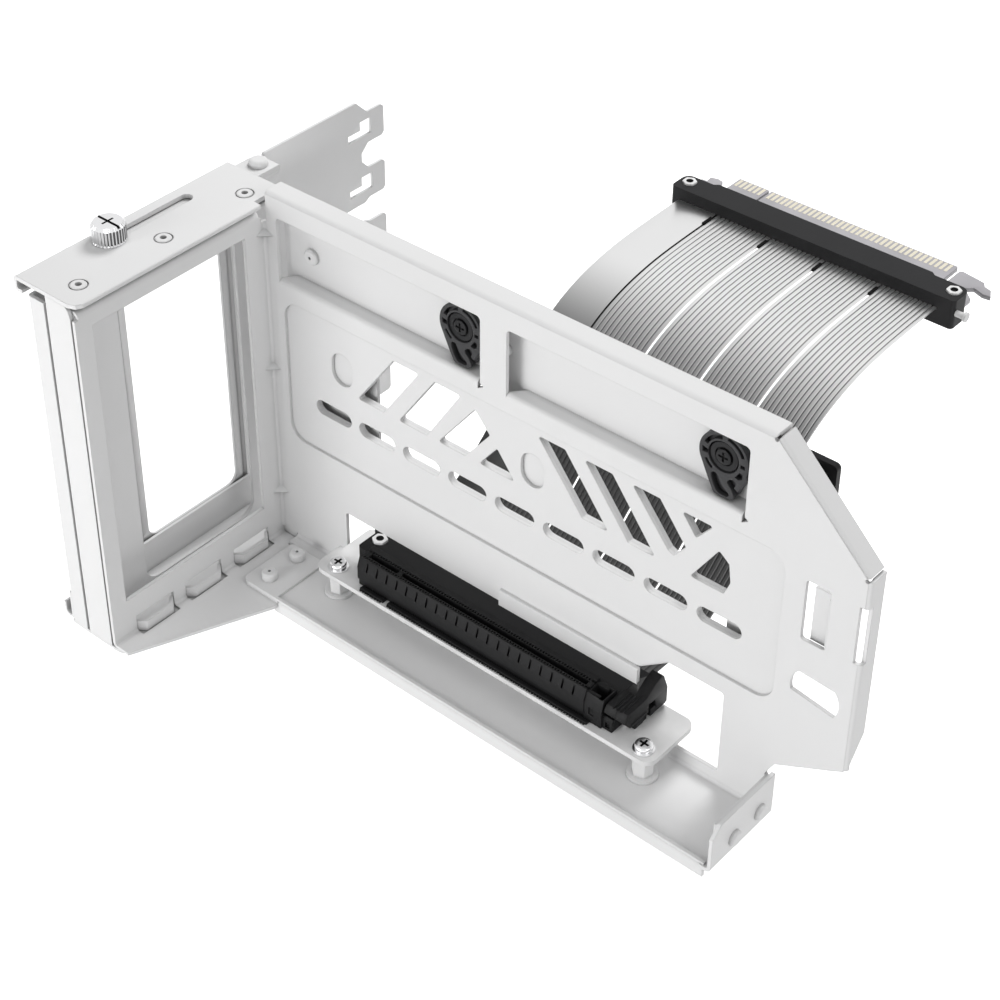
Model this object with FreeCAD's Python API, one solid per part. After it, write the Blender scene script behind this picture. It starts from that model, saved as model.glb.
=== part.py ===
import FreeCAD, Part
import math, os
os.makedirs("parts", exist_ok=True)
V = FreeCAD.Vector

# Driving sizes, in mm
# Modelling axes: X right along the main panel, Y back, Z up, from the inner corner of the folded sheet
T = 1.2                 # sheet thickness of the folded bracket
RI = 0.8                # inside bend radius
RO = T + RI             # outside bend radius
PANEL_W = 211.8         # main panel, left corner to right edge
PANEL_H = 127.7         # main panel, shelf to top edge
WALL_D = 73.0           # card opening wall, front to panel
SHELF_D = 27.0          # shelf depth in front of the panel
SHELF_R = 190.0         # right end of the shelf
FLANGE_D = 6.8          # depth of the panel's folded rims
PLATE_TOP = 123.5       # upper face of the top plate
PLATE_T = 1.4           # top plate thickness
PLATE_UNDER = PLATE_TOP - PLATE_T
PLATE_L = -25.5         # left edge of the top plate
MOUNT_X = -20.5         # inner face of the mounting plate
MOUNT_T = 1.0           # mounting plate thickness
PITCH = 20.32           # slot pitch of a computer case
TAIL_TOP = 118.0        # top of the uppermost tail
TAIL_H = 11.1           # height of each tail
TAIL_END = 74.1         # end of the tails
CASE_Y = -48.0          # face of the case flange
CASE_X = -27.0          # centre line of the case screw holes
SCREW_X, SCREW_Y = -18.8, -43.0   # thumb screw
THUMB_R = 5.2           # thumb screw radius
RIVET_Y = (0.0, (8.0 - WALL_D) / 2, 8.5 - WALL_D)   # the rivets of the top plate
POST_Y = (-8.9, -21.3)  # the two studs on the shelf's tab
PCB_Z = 8.0             # underside of the riser board
PCB_T = 1.6             # riser board thickness
CLIP_Z = 111.6          # height of the clips' pivots
CLIP_X = (75.2, 164.5)  # the two pivots
CLIP_T = 3.4            # clip thickness
CLIP_Y = 1.7            # front face of the clips
BACK_Y = 5.5            # front face of the back plate
BACK_T = 1.0            # back plate thickness
RIBBON_T = 1.0          # thickness of the ribbon's strips
PLUG_Z = 59.4           # underside of the plug's overmold
STRIPS = (36.6, 52.6, 74.9, 96.3, 117.7, 138.3)   # edges of the five strips
RIBBON = ((12.65, 9.3), (22, 8.9), (32, 9.2), (41, 10.6), (54, 20), (66, 31.5), (79, 44.5), (90, 54.2), (104, 60.4),
          (121, 63.9), (140, 65.0), (158.97, 65.2))
GAP = 0.25              # gap between two strips

# The frame's origin is the middle of the case screw holes, on the face that meets the case
HOLE_TOP = TAIL_TOP - TAIL_H / 2
HOLE_SPAN = 5 * PITCH
ORIGIN = V(CASE_X, CASE_Y, HOLE_TOP - HOLE_SPAN / 2)


def save(shape, name):
    s = shape.copy()
    s.translate(ORIGIN * -1)
    s.exportStep("parts/%s.step" % name)


def box(x0, x1, y0, y1, z0, z1):
    return Part.makeBox(x1 - x0, y1 - y0, z1 - z0, V(x0, y0, z0))


def cyl(r, h, x, y, z, d=(0, 0, 1)):
    return Part.makeCylinder(r, h, V(x, y, z), V(*d))


def at(axis, a, b, c):
    """Point from plane coordinates: along x they are y, z; along y they are x, z; along z they are x, y."""
    return {"x": V(c, a, b), "y": V(a, c, b), "z": V(a, b, c)}[axis]


def prism(pts, axis, lo, hi, r=0.0):
    """Closed outline, each corner with its own radius, extruded along an axis."""
    n = len(pts)
    corners = []
    for i in range(n):
        p = V(pts[i][0], pts[i][1], 0)
        rad = pts[i][2] if len(pts[i]) > 2 else r
        if rad <= 0:
            corners.append((p, None, p))
            continue
        a = V(pts[i - 1][0], pts[i - 1][1], 0) - p
        b = V(pts[(i + 1) % n][0], pts[(i + 1) % n][1], 0) - p
        a.normalize()
        b.normalize()
        half = a.getAngle(b) / 2
        bis = a + b
        bis.normalize()
        c = p + bis * (rad / math.sin(half))
        d = rad / math.tan(half)
        corners.append((p + a * d, c - bis * rad, p + b * d))
    edges = []
    for i in range(n):
        s, m, e = [None if q is None else at(axis, q.x, q.y, lo) for q in corners[i]]
        if m is not None:
            edges.append(Part.Arc(s, m, e).toShape())
        q = corners[(i + 1) % n][0]
        q = at(axis, q.x, q.y, lo)
        if (q - e).Length > 1e-6:
            edges.append(Part.makeLine(e, q))
    return Part.Face(Part.Wire(edges)).extrude(at(axis, 0, 0, hi - lo))


def disc(axis, a, b, r, lo, hi):
    return Part.makeCylinder(r, hi - lo, at(axis, a, b, lo), at(axis, 0, 0, 1))


def track(axis, a0, b0, a1, b1, r, lo, hi):
    """Slot with round ends between two centres."""
    dx, dy = a1 - a0, b1 - b0
    k = r / math.hypot(dx, dy)
    nx, ny = -dy * k, dx * k
    bar = prism([(a0 + nx, b0 + ny), (a0 - nx, b0 - ny), (a1 - nx, b1 - ny), (a1 + nx, b1 + ny)], axis, lo, hi)
    return bar.fuse([disc(axis, a0, b0, r, lo, hi), disc(axis, a1, b1, r, lo, hi)]).removeSplitter()


def hexagon(x, y, across, z0, z1, turn=0.0):
    k = across / 2 / math.cos(math.pi / 6)
    return prism([(x + k * math.cos(turn + i * math.pi / 3), y + k * math.sin(turn + i * math.pi / 3))
                  for i in range(6)], "z", z0, z1)


def join(shapes):
    return shapes[0].fuse(shapes[1:]).removeSplitter()


def add(shape, tools):
    for t in tools:
        shape = shape.fuse(t)
    return shape


def take(shape, tools):
    for t in tools:
        shape = shape.cut(t)
    return shape


def pyramid(a, b, c, top):
    """Solid with a three-cornered base and one tip."""
    faces = [Part.Face(Part.makePolygon([p, q, r, p])) for p, q, r in ((a, b, c), (a, b, top), (b, c, top), (c, a, top))]
    solid = Part.Solid(Part.Shell(faces))
    if solid.Volume < 0:
        solid.reverse()
    return solid


def group(shapes):
    return Part.makeCompound(shapes)


def pan_head(r, h, x, y, z, d):
    """Low rivet head with a rounded edge, standing on a face."""
    head = cyl(r, h, x, y, z, d)
    rim = [e for e in head.Edges if (e.CenterOfMass - V(x, y, z)).Length > h * 0.9 and len(e.Vertexes) == 1
           and abs((e.CenterOfMass - V(x, y, z)).dot(V(*d)) - h) < 1e-6]
    return head.makeFillet(min(h, r) * 0.6, rim)


def tapped(r, h, x, y, z, d):
    """Plain stud with a chamfered top and a small hole in its middle."""
    base, way = V(x, y, z), V(*d)
    stud = cyl(r, h, x, y, z, d)
    rim = [e for e in stud.Edges if len(e.Vertexes) == 1 and abs((e.CenterOfMass - base).dot(way) - h) < 1e-6]
    hole = base + way * (h - 1.0)
    return stud.makeChamfer(0.5, rim).cut(cyl(0.5, 1.5, hole.x, hole.y, hole.z, d))


def cross(x, y, z, d, w=2.6):
    """Cutter for a cross recess, opening along d at the point."""
    bars = [box(-w / 2, w / 2, -0.35, 0.35, -1.2, 0.01), box(-0.35, 0.35, -w / 2, w / 2, -1.2, 0.01)]
    c = join(bars)
    c.Placement = FreeCAD.Placement(V(x, y, z), FreeCAD.Rotation(V(0, 0, 1), V(*d)))
    return c


# Folded bracket body: one sheet with the main panel, card opening wall, floor and shelf

TAB_X = 8.5             # left edge of the shelf's raised tab
SEAM_X = 6.4            # left end of the bend between panel and shelf
RAISE = 0.7             # height of the raised tab and of the shelf's front bead
WALL_TOP = PLATE_UNDER - 1.5   # upper face of the wall's top flange
FLOOR_Z = -T
panel = prism([(-0.6, -2.0), (SEAM_X - 0.3, -2.0), (SEAM_X - 0.3, 0.9), (22.5, 0.9), (22.5, 2.0), (SHELF_R - 2.6, 2.0),
               (SHELF_R - 2.6, 14.6), (SHELF_R, 19.5), (PANEL_W - 5.8, 28), (PANEL_W - 1, 30.6),
               (PANEL_W - 1, 97.2), (PANEL_W - 30.7, PANEL_H - 1), (1.0, PANEL_H - 1), (1.0, 121.6), (0, 121.6)],
              "y", 0, T)
corner = prism([(0, -WALL_D), (0, 0, RI), (8, 0), (8, T), (-T, T, RO), (-T, -WALL_D)], "z", 0.9, WALL_TOP - 2.2)
wall_top = prism([(-T, 116), (0, 116), (0, WALL_TOP, RO), (-12.5, WALL_TOP), (-12.5, WALL_TOP - T), (-T, WALL_TOP - T, RI)],
                 "y", -WALL_D + T + 0.2, -2.0)
wall_foot = prism([(0, 6), (0, FLOOR_Z, RI), (24.0, FLOOR_Z), (24.0, FLOOR_Z - T), (-T, FLOOR_Z - T, RO), (-T, 6)],
                  "y", -WALL_D, -0.0)
wall_foot = wall_foot.cut(box(0.6, SEAM_X, -0.35, 0.1, -4, 0))
floor_cut = prism([(24.2, -28.3), (24.2, -80), (4, -80), (5.5, -WALL_D, 3), (11, 13 - WALL_D, 8)], "z", -4, 5)
seam = join([box(SEAM_X - 0.3, SEAM_X, -4.0, 0.05, -1.8, -1.0), box(SEAM_X - 0.3, TAB_X - 0.8, -4.3, -4.0, -1.8, -1.0)])
bend_start = prism([(-4.0, 0), (0, 0, RI), (0, 6), (T, 6), (T, -T, RO), (-4.0, -T)], "x", SEAM_X, 22.6)
bead = box(TAB_X + 8, SHELF_R - 2.6, -SHELF_D, -SHELF_D + 1.1, -0.2, RAISE)
shelf_bend = prism([(-SHELF_D, 0, RO), (0, 0, RI), (0, 6), (T, 6), (T, -T, RO), (-SHELF_D + T, -T, RI), (-SHELF_D + T, -5.0),
                    (-SHELF_D, -5.0)], "x", 22.5, SHELF_R - 3)
shelf_end = box(SHELF_R - 3, SHELF_R - 1, -SHELF_D, T, -T, 0)
tab = join([prism([(TAB_X, -3.9, 1.0), (24, -3.9), (24, -SHELF_D), (TAB_X, -SHELF_D, 2.5)], "z", -T, 0),
            prism([(TAB_X, -4.6, 1.5), (23.3, -4.6, 2.0), (23.3, -SHELF_D), (TAB_X, -SHELF_D, 2.5)], "z", -0.4, RAISE)])
end_flange = prism([(SHELF_R - T, 15), (SHELF_R - T, 0, RI), (SHELF_R - 4, 0), (SHELF_R - 4, -T), (SHELF_R, -T, RO), (SHELF_R, 15)],
                   "y", -SHELF_D - 0.5, T).common(
    prism([(-SHELF_D - 0.5, -2.4), (T, -2.4), (T, 15), (-SHELF_D + 3, 15), (-SHELF_D - 0.5, 11.5)], "x", SHELF_R - 10, SHELF_R + 5))
foot_tab = prism([(SHELF_R - T, -24), (SHELF_R - T, T, RO), (SHELF_R - 6, T), (SHELF_R - 6, 0), (SHELF_R - 2 * T, 0, RI), (SHELF_R - 2 * T, -24)],
                 "z", 1.2, 14.0)

top_rim = prism([(0, 118), (0, PANEL_H, 1.5), (FLANGE_D, PANEL_H), (FLANGE_D, PANEL_H - T), (T, PANEL_H - T, 0.3), (T, 118)],
                "x", 1.0, PANEL_W - 31.2)
top_rim = top_rim.cut(box(0, 1.001, -1, 1.3, 110, 121.6))
right_rim = prism([(PANEL_W - 11.8, 0), (PANEL_W, 0, 1.5), (PANEL_W, FLANGE_D), (PANEL_W - T, FLANGE_D), (PANEL_W - T, T, 0.3),
                   (PANEL_W - 11.8, T)],
                  "z", 31.0, 96.8)
right_rim = right_rim.cut(prism([(FLANGE_D + 0.1, 30), (FLANGE_D + 0.1, 41), (T + 0.1, 33), (T + 0.1, 30)], "x", PANEL_W - 11.8, PANEL_W + 3.2))
edge_slot = box(PANEL_W - 2.4, PANEL_W + 1, -1, 2.2, 69, 88)
DIAG = math.hypot(30.6, 30.6)
slope_rim = prism([(0, -9), (0, 0, 1.5), (FLANGE_D, 0), (FLANGE_D, -T), (T, -T, 0.3), (T, -9)], "x", 0.9, DIAG - 0.9)
slope_rim.rotate(V(0, 0, 0), V(0, 1, 0), 45)
slope_rim.translate(V(PANEL_W - 30.8, 0, PANEL_H))
hem = prism([(-T - 0.1, 20.9, 0.5), (0, 20.9), (0, 26.9), (-T - 0.1, 26.9, 0.3)], "x", 92.5, 143.8)
cut_lip = prism([(0, 0, 1.2), (0, 5), (T, 5), (T, T, 0.3), (FLANGE_D - 1.2, T), (FLANGE_D - 1.2, 0)], "x", 0.6, 16.6)
cut_lip.rotate(V(0, 0, 0), V(0, 1, 0), -37)
cut_lip.translate(V(139.6, 0, 23.6))

WINDOWS = ((5.0, 84.0), (93.5, 173.5))
LIP_Z, WIN_TOP = 98.5, 120.0
lips, window_cuts = [], []
for x0, x1 in WINDOWS:
    window_cuts.append(prism([(x0, LIP_Z - 1.5), (x1, LIP_Z - 1.5), (x1, WIN_TOP, 1.5), (x0, WIN_TOP, 1.5)], "y", -1, T + 1))
    window_cuts.append(prism([(x1 - 1, LIP_Z - 3), (x1 + 1.2, LIP_Z - 1.6), (x1 - 1, LIP_Z)], "y", -1, T + 1))
    lip = prism([(0, 92), (0, LIP_Z, 1.5), (BACK_Y, LIP_Z), (BACK_Y, LIP_Z - T), (T, LIP_Z - T, 0.3), (T, 92)], "x", x0, x1 - 0.8)
    lips.append(lip.cut(prism([(x0 - 1, 1.6), (x0, 1.6), (x0 + 4.5, BACK_Y + 1), (x0 - 1, BACK_Y + 1)], "z", 90, 99)))

riser_cut = prism([(29, 4.5, 1), (172, 4.5, 1), (172, 34.5, 1), (153.7, 34.5, 1), (139.9, 24.0, 0), (139.9, 21.5), (29, 21.5, 1)],
                  "y", -1, T + 1)
slope_cut = prism([(139.0, 24.6), (151.6, 34.2), (153.7, 34.5), (153.7, 20), (139.0, 20)], "y", -1, T + 1)
side_slot = prism([(193.5, 68.0, 1), (201.0, 68.0, 1), (201.0, 88.0, 1), (193.5, 88.0, 1)], "y", -1, 4)
side_tab = prism([(200.5, 0.3), (202.2, 0.3), (202.2, 3.6, 1.2), (195.0, 3.6), (195.0, 2.4), (201.0, 2.4, 0.3), (201.0, 1.0), (200.5, 1.0)],
                 "z", 67, 85)
lens = Part.makeCylinder(7.5, 4, V(199.5, -1, 51.5), V(0, 1, 0)).common(
    prism([(191.8, 49.5), (207.2, 47.0), (207.2, 56.0), (191.8, 57.0)], "y", -2, 4))

# Pressed field of the panel, sunk towards the back
SINK = 0.9
FIELD = [(6.5, 40.5, 6), (187, 40.5, 6), (187, 92, 6), (6.5, 92, 6)]
field_back = prism([(5.3, 39.3, 7), (188.2, 39.3, 7), (188.2, 93.2, 7), (5.3, 93.2, 7)], "y", T, T + SINK)
field_front = prism(FIELD, "y", -0.01, SINK)


def vent_shapes(y0, y1):
    """The row of cut-outs in the pressed field."""
    polys = [
        [(35.3, 68.3), (45.8, 68.3), (60, 89), (50, 89)],
        [(51.8, 68.3), (62.9, 68.3), (76, 89), (66, 89)],
        [(67.3, 68.3), (77.7, 68.3), (87, 80.3), (81.4, 86.7)],
        [(83.0, 68.3), (96.3, 68.3), (89.7, 77)],
        [(104.3, 89), (114, 89), (129.9, 68.3), (120.6, 68.3)],
        [(120.7, 89), (130.4, 89), (146.0, 68.3), (136.7, 68.3)],
        [(137, 89), (146.4, 89), (155.7, 77), (152.0, 72.2), (150, 73)],
        [(153.6, 88.6), (163.9, 88.6), (158.6, 82)],
        [(157.6, 68.2), (168.6, 68.2), (170.4, 73.0), (169.6, 79.0), (166.2, 81.8)],
    ]
    out = []
    for p in polys:
        area = sum(p[i - 1][0] * p[i][1] - p[i][0] * p[i - 1][1] for i in range(len(p)))
        out.append(prism(p if area > 0 else p[::-1], "y", y0, y1, 0.6))
    return out


def slot_row(y0, y1):
    """The lower row of plain slots."""
    return [track("y", 20 + 17.9 * i, 57.5, 29.5 + 17.9 * i, 57.5, 2.6, y0, y1) for i in range(9)]


def blind_slots(y0, y1):
    return [track("y", 29.0 + 73.7 * i, 74.1, 29.0 + 73.7 * i, 77.3, 4.2, y0, y1) for i in range(2)]


gussets = []
for z in (113.0, 64.6, 16.2):
    gussets.append(pyramid(V(-0.4, 0.4, z), V(-0.4, -4.0, z), V(4.0, 0.4, z), V(-0.4, 0.4, z + 2.2)))
bridges = []
for share in (64, 43.5, 22.5):
    bridges.append((-share * WALL_D / 73, -share * WALL_D / 73 + 15.5))

body = add(panel, [corner, wall_top, wall_foot, bend_start, shelf_bend, shelf_end, bead, end_flange, foot_tab, top_rim, right_rim, slope_rim])
body = take(body, window_cuts + [riser_cut, slope_cut, side_slot, edge_slot, lens, floor_cut])
body = add(body, lips + [field_back, hem, cut_lip, side_tab])
body = take(body, [field_front] + vent_shapes(-1, T + SINK + 1) + slot_row(-1, T + SINK + 1) + blind_slots(-1, T + SINK + 1))
body = take(body, [riser_cut.copy().common(box(28, 150, -2, 6, 0, 21.5)), seam,
                 prism([(6 - WALL_D, 12.5), (-8, 12.5), (-8, 114.5), (6 - WALL_D, 114.5)], "x", -3, 1),
                 box(-2, 1.0, -1.2, 2, 117, 123), box(-2, 0.9999, -3, 2, 121.6, 123),
                 cyl(0.6, 3, PANEL_W - 31.1, -1, 126.4, (0, 1, 0)), cyl(0.6, 3, PANEL_W - 1.4, -1, 97.0, (0, 1, 0))])
# Lanced bridges across the foot bend of the wall
for y0, y1 in bridges:
    body = body.cut(prism([(-3, -1.9), (2.7, -1.9), (2.7, -0.3), (0.3, -0.3), (0.3, 4.4), (-3, 4.4)], "y", y0, y1))
    body = body.fuse(prism([(-1.0, y0 - 0.5), (2.3, y0 + 2.4), (2.3, y1 - 2.4), (-1.0, y1 + 0.5), (-1.0, y1 - 0.9), (1.2, y1 - 2.9),
                            (1.2, y0 + 2.9), (-1.0, y0 + 0.9)], "z", -1.6, 2.2))
body = body.fuse(tab)
body = add(body, gussets)
body = take(body, [cyl(1.3, 5, 15, POST_Y[0], -3), cyl(1.3, 5, 15, POST_Y[1], -3),
                 cyl(1.3, 6, SHELF_R - 4, -5.2, 5.2, (1, 0, 0)), cyl(1.3, 6, SHELF_R - 4, -17.2, 4.9, (1, 0, 0)),
                 cyl(1.5, 4, 35.3, -10.7, -3), cyl(1.5, 4, 154.2, -10.8, -3)])
body = body.fuse(box(-12.5, -3, -2.5, 4.5, WALL_TOP - T, WALL_TOP))
for y in RIVET_Y:
    body = body.cut(cyl(1.3, 4, -7.5, y, WALL_TOP - T - 1))
save(body.removeSplitter(), "bracket_body")

# Slide carrier round the wall: front strips, top plate and bottom plate

FRONT = -WALL_D
REAR = 4.5              # rear end of the slide carrier
BASE_Z = -2.5           # upper face of the bottom plate
STRIP_X = -13.2         # seam between the two front strips
slide_frame = prism([(-1.9, FRONT), (STRIP_X, FRONT, 1.6), (STRIP_X, REAR), (STRIP_X + T, REAR), (STRIP_X + T, FRONT + T, 0.4),
                     (-1.9, FRONT + T)], "z", BASE_Z, PLATE_UNDER)
slide_frame = slide_frame.cut([box(STRIP_X - 1, STRIP_X + T + 0.1, FRONT + T, REAR + 1, WALL_TOP - T, 125),prism([(FRONT + 24.5, 1.3, 5), (-1.5, 1.3, 5), (-1.5, 113, 5), (FRONT + 24.5, 113, 5)], "x", STRIP_X - 1, STRIP_X + 2),
                               box(STRIP_X - 0.1, STRIP_X + 1.6, FRONT + T + 1, 1, 118.7, 125),
                               prism([(-1.0, 118.5), (-1.0, 125), (-6, 125), (-2.6, 120.8), (-1.9, 118.5)], "y", FRONT - 1, FRONT + 2)])
save(slide_frame.removeSplitter(), "slide_frame")

LEG_X = MOUNT_X + 0.3   # face next to the mounting plate
side_channel = prism([(STRIP_X, FRONT), (LEG_X, FRONT, 1.2), (LEG_X, FRONT + 13), (LEG_X + 1.0, FRONT + 13), (LEG_X + 1.0, FRONT + T, 0.3),
                      (STRIP_X, FRONT + T)], "z", BASE_Z, 119.0)
hook = prism([(LEG_X, 9), (LEG_X, -0.8, 0.3), (-22.6, -0.8, 1.2), (-22.6, 3.3), (-23.5, 3.3), (-23.5, -1.7, 2.0),
              (LEG_X + 1.0, -1.7, 0.3), (LEG_X + 1.0, 9)], "y", FRONT, REAR)
side_channel = join([side_channel, hook, box(LEG_X, LEG_X + 1.0, FRONT + T, REAR, BASE_Z, 1.0)])
save(side_channel, "side_channel")

bottom_plate = prism([(LEG_X, FRONT), (4.2, FRONT, 4), (4.2, -2), (-1.5, -2), (-1.5, REAR), (LEG_X, REAR)], "z", BASE_Z - T, BASE_Z)
bottom_plate = bottom_plate.fuse(box(-1.0, 4.2, FRONT + 3, -2, BASE_Z, -2 * T)).removeSplitter()
save(bottom_plate, "bottom_plate")

top_plate = prism([(0.8, PLATE_TOP, 0.5), (0.8, PLATE_UNDER), (PLATE_L + T, PLATE_UNDER, 0.4), (PLATE_L + T, 118.5 + 1.0, 0.4), (-22.3, 118.5 + 1.0),
                   (-22.3, 118.5), (PLATE_L, 118.5, 1.2), (PLATE_L, PLATE_TOP, 1.4)], "y", FRONT, 9.5)
top_plate = top_plate.cut([
    prism([(0.9, FRONT - 1), (0.9, FRONT + 3.2), (-0.2, FRONT + 1.0), (-2.6, FRONT), (-2.6, FRONT - 1)], "z", 115, 130),
    track("z", SCREW_X, SCREW_Y, SCREW_X, -13, 2.0, PLATE_UNDER - 1, PLATE_TOP + 1),
    box(-2.0, 2, -1.6, 10, 120, 130)] + [cyl(2.9, 2, -7.5, y, PLATE_TOP - 0.5) for y in RIVET_Y]
    + [cyl(1.3, 4, -7.5, y, PLATE_UNDER - 1) for y in RIVET_Y])
save(top_plate, "top_plate")

rivets = []
for y in RIVET_Y:
    head = cyl(2.45, 0.75, -7.5, y, PLATE_TOP - 0.5)
    head = head.makeChamfer(0.25, [e for e in head.Edges if abs(e.CenterOfMass.z - PLATE_TOP - 0.25) < 0.01 and len(e.Vertexes) == 1])
    shank = cyl(1.3, PLATE_TOP - 0.5 - WALL_TOP + T + 0.01, -7.5, y, WALL_TOP - T - 0.01)
    rivets.append(join([head, shank, cyl(2.1, PLATE_UNDER - WALL_TOP, -7.5, y, WALL_TOP), cyl(2.1, 0.7, -7.5, y, WALL_TOP - T - 0.7)])
                  .cut(cyl(1.0, 2, -7.5, y, PLATE_TOP - 0.9)))
save(group(rivets), "top_plate_rivets")

# Mounting plate that stays on the case

pts = [(CASE_Y, 0.2), (CASE_Y, 110), (20.6, 110), (20.6, 123.0, 1), (61.6, 123.0), (66.6, 118.0)]
for i in range(6):
    top = TAIL_TOP - PITCH * i
    low = top - TAIL_H
    pts += [(66.6, top)] if i else []
    pts += [(TAIL_END - 1, top), (TAIL_END, top - 1), (TAIL_END, low + 1), (TAIL_END - 1, low), (66.6, low)]
    if i == 5:
        pts += [(62.6, low - 4), (62.6, 0.2)]
    elif i % 2 == 0:
        pts += [(63.5, low - 3), (63.5, low - 6)]
    else:
        pts += [(64.6, low - 1.3), (55.5, low - 1.3), (55.5, top - PITCH + 0.8), (64.6, top - PITCH + 0.8)]
mount = prism(pts[::-1], "x", MOUNT_X - MOUNT_T, MOUNT_X)
mount = mount.fuse([
    prism([(MOUNT_X, 105), (MOUNT_X, 119.3, 0.5), (-13.6, 119.3), (-13.6, 120.3), (MOUNT_X - MOUNT_T, 120.3, 1.5),
           (MOUNT_X - MOUNT_T, 105)], "y", CASE_Y, 20.2),
    prism([(MOUNT_X, -44), (MOUNT_X - MOUNT_T, -44), (MOUNT_X - MOUNT_T, CASE_Y, 0.5), (CASE_X - 5.5, CASE_Y), (CASE_X - 5.5, CASE_Y - 1.0),
           (MOUNT_X, CASE_Y - 1.0, 1.5)], "z", 5.5, 117.4),
    prism([(-43.6, 3.6, 6), (4.8, 3.6, 6), (4.8, 116.0, 6), (-43.6, 116.0, 6)], "x", MOUNT_X - MOUNT_T - 0.4, MOUNT_X - MOUNT_T)])
mount = mount.cut([
    prism([(-43.0, 4.2, 5), (4.2, 4.2, 5), (4.2, 115.4, 5), (-43.0, 115.4, 5)], "x", MOUNT_X - 0.4, MOUNT_X + 0.1),
    prism([(-38.8, 8.4, 4), (0, 8.4, 4), (0, 112.0, 4), (-38.8, 112.0, 4)], "x", MOUNT_X - 3, MOUNT_X + 1),
    cyl(1.6, 4, SCREW_X, SCREW_Y, 118), cyl(1.4, 4, -18.4, 16.3, 118)])
mount = mount.cut([box(MOUNT_X - 3, MOUNT_X + 1, 63.1, 68.1, TAIL_TOP - PITCH * i - 8.1, TAIL_TOP - PITCH * i - 2.5) for i in range(6)]
                  + [box(MOUNT_X - 3, MOUNT_X + 1, 57.6, 63.2, TAIL_TOP - PITCH * i - 8.1, TAIL_TOP - PITCH * i - 5.5) for i in range(6)]
                  + [cyl(1.8, 6, CASE_X, CASE_Y - 3, HOLE_TOP - HOLE_SPAN * i, (0, 1, 0)) for i in range(2)])
save(mount.removeSplitter(), "mounting_plate")

rail = prism([(-23.5, -60), (-13.6, -60), (-13.6, 20.5), (-23.5, 20.5, 4)], "z", 120.3, 121.8)
rail = rail.cut([cyl(1.55, 4, SCREW_X, SCREW_Y, 118), cyl(1.4, 4, -18.4, 16.3, 118)])
save(rail, "top_rail")
save(join([pan_head(3.0, 2.2, -18.4, 16.3, 121.8, (0, 0, 1)), cyl(1.4, 2.5, -18.4, 16.3, 119.3),
           cyl(1.8, 0.8, -18.4, 16.3, 118.5)]), "rail_rivet")

knob = cyl(THUMB_R, 6.0, SCREW_X, SCREW_Y, PLATE_TOP + 0.1)
knob = knob.makeChamfer(0.5, [e for e in knob.Edges if abs(e.CenterOfMass.z - PLATE_TOP - 6.1) < 0.01 and len(e.Vertexes) == 1])
knob = knob.cut([cyl(0.28, 5.0, SCREW_X + THUMB_R * math.cos(math.radians(a)), SCREW_Y + THUMB_R * math.sin(math.radians(a)),
                     PLATE_TOP + 0.5) for a in range(0, 360, 12)])
knob = knob.cut([box(SCREW_X - 6, SCREW_X + 6, SCREW_Y - 0.45, SCREW_Y + 0.45, PLATE_TOP + 5.3, 132),
                 cross(SCREW_X, SCREW_Y, PLATE_TOP + 5.3, (0, 0, 1), 4.0)])
save(join([knob, cyl(1.5, PLATE_TOP + 0.2 - 117.4, SCREW_X, SCREW_Y, 117.4)]), "thumb_screw")

# Sheets and small parts behind the main panel

BACKING_Y = T + SINK
backing = prism([(8, 43.5, 3), (186.5, 43.5, 3), (186.5, 91, 3), (8, 91, 3)], "y", BACKING_Y, BACKING_Y + T)
backing = backing.cut(vent_shapes(0, 6) + slot_row(0, 6))
save(backing, "vent_backing")

SPACERS = [(89.0, 109.0, T), (178.6, 109.0, T), (12.2, 62.0, BACKING_Y + T), (184.2, 62.0, BACKING_Y + T)]
back_plate = prism([(3, 36, 3), (186.4, 36, 3), (186.4, 112), (176, 122), (3, 124, 3)], "y", BACK_Y, BACK_Y + BACK_T)
back_plate = back_plate.cut([prism([(39, 45, 3), (167.5, 45, 3), (167.5, 92, 3), (39, 92, 3)], "y", 4, 8)]
                            + [cyl(1.6, 6, x, 3, CLIP_Z, (0, 1, 0)) for x in CLIP_X] + [cyl(1.3, 6, 14.3, 3, 107.8, (0, 1, 0))])
save(back_plate, "back_plate")
save(group([cyl(2.1, BACK_Y - y, x, y, z, (0, 1, 0)) for x, z, y in SPACERS]), "back_plate_spacers")
save(join([tapped(2.6, 1.5, 14.3, BACK_Y, 107.8, (0, -1, 0)), cyl(1.3, BACK_T, 14.3, BACK_Y, 107.8, (0, 1, 0)),
           cyl(2.0, 0.8, 14.3, BACK_Y + BACK_T, 107.8, (0, 1, 0))]), "back_plate_rivet")

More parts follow.
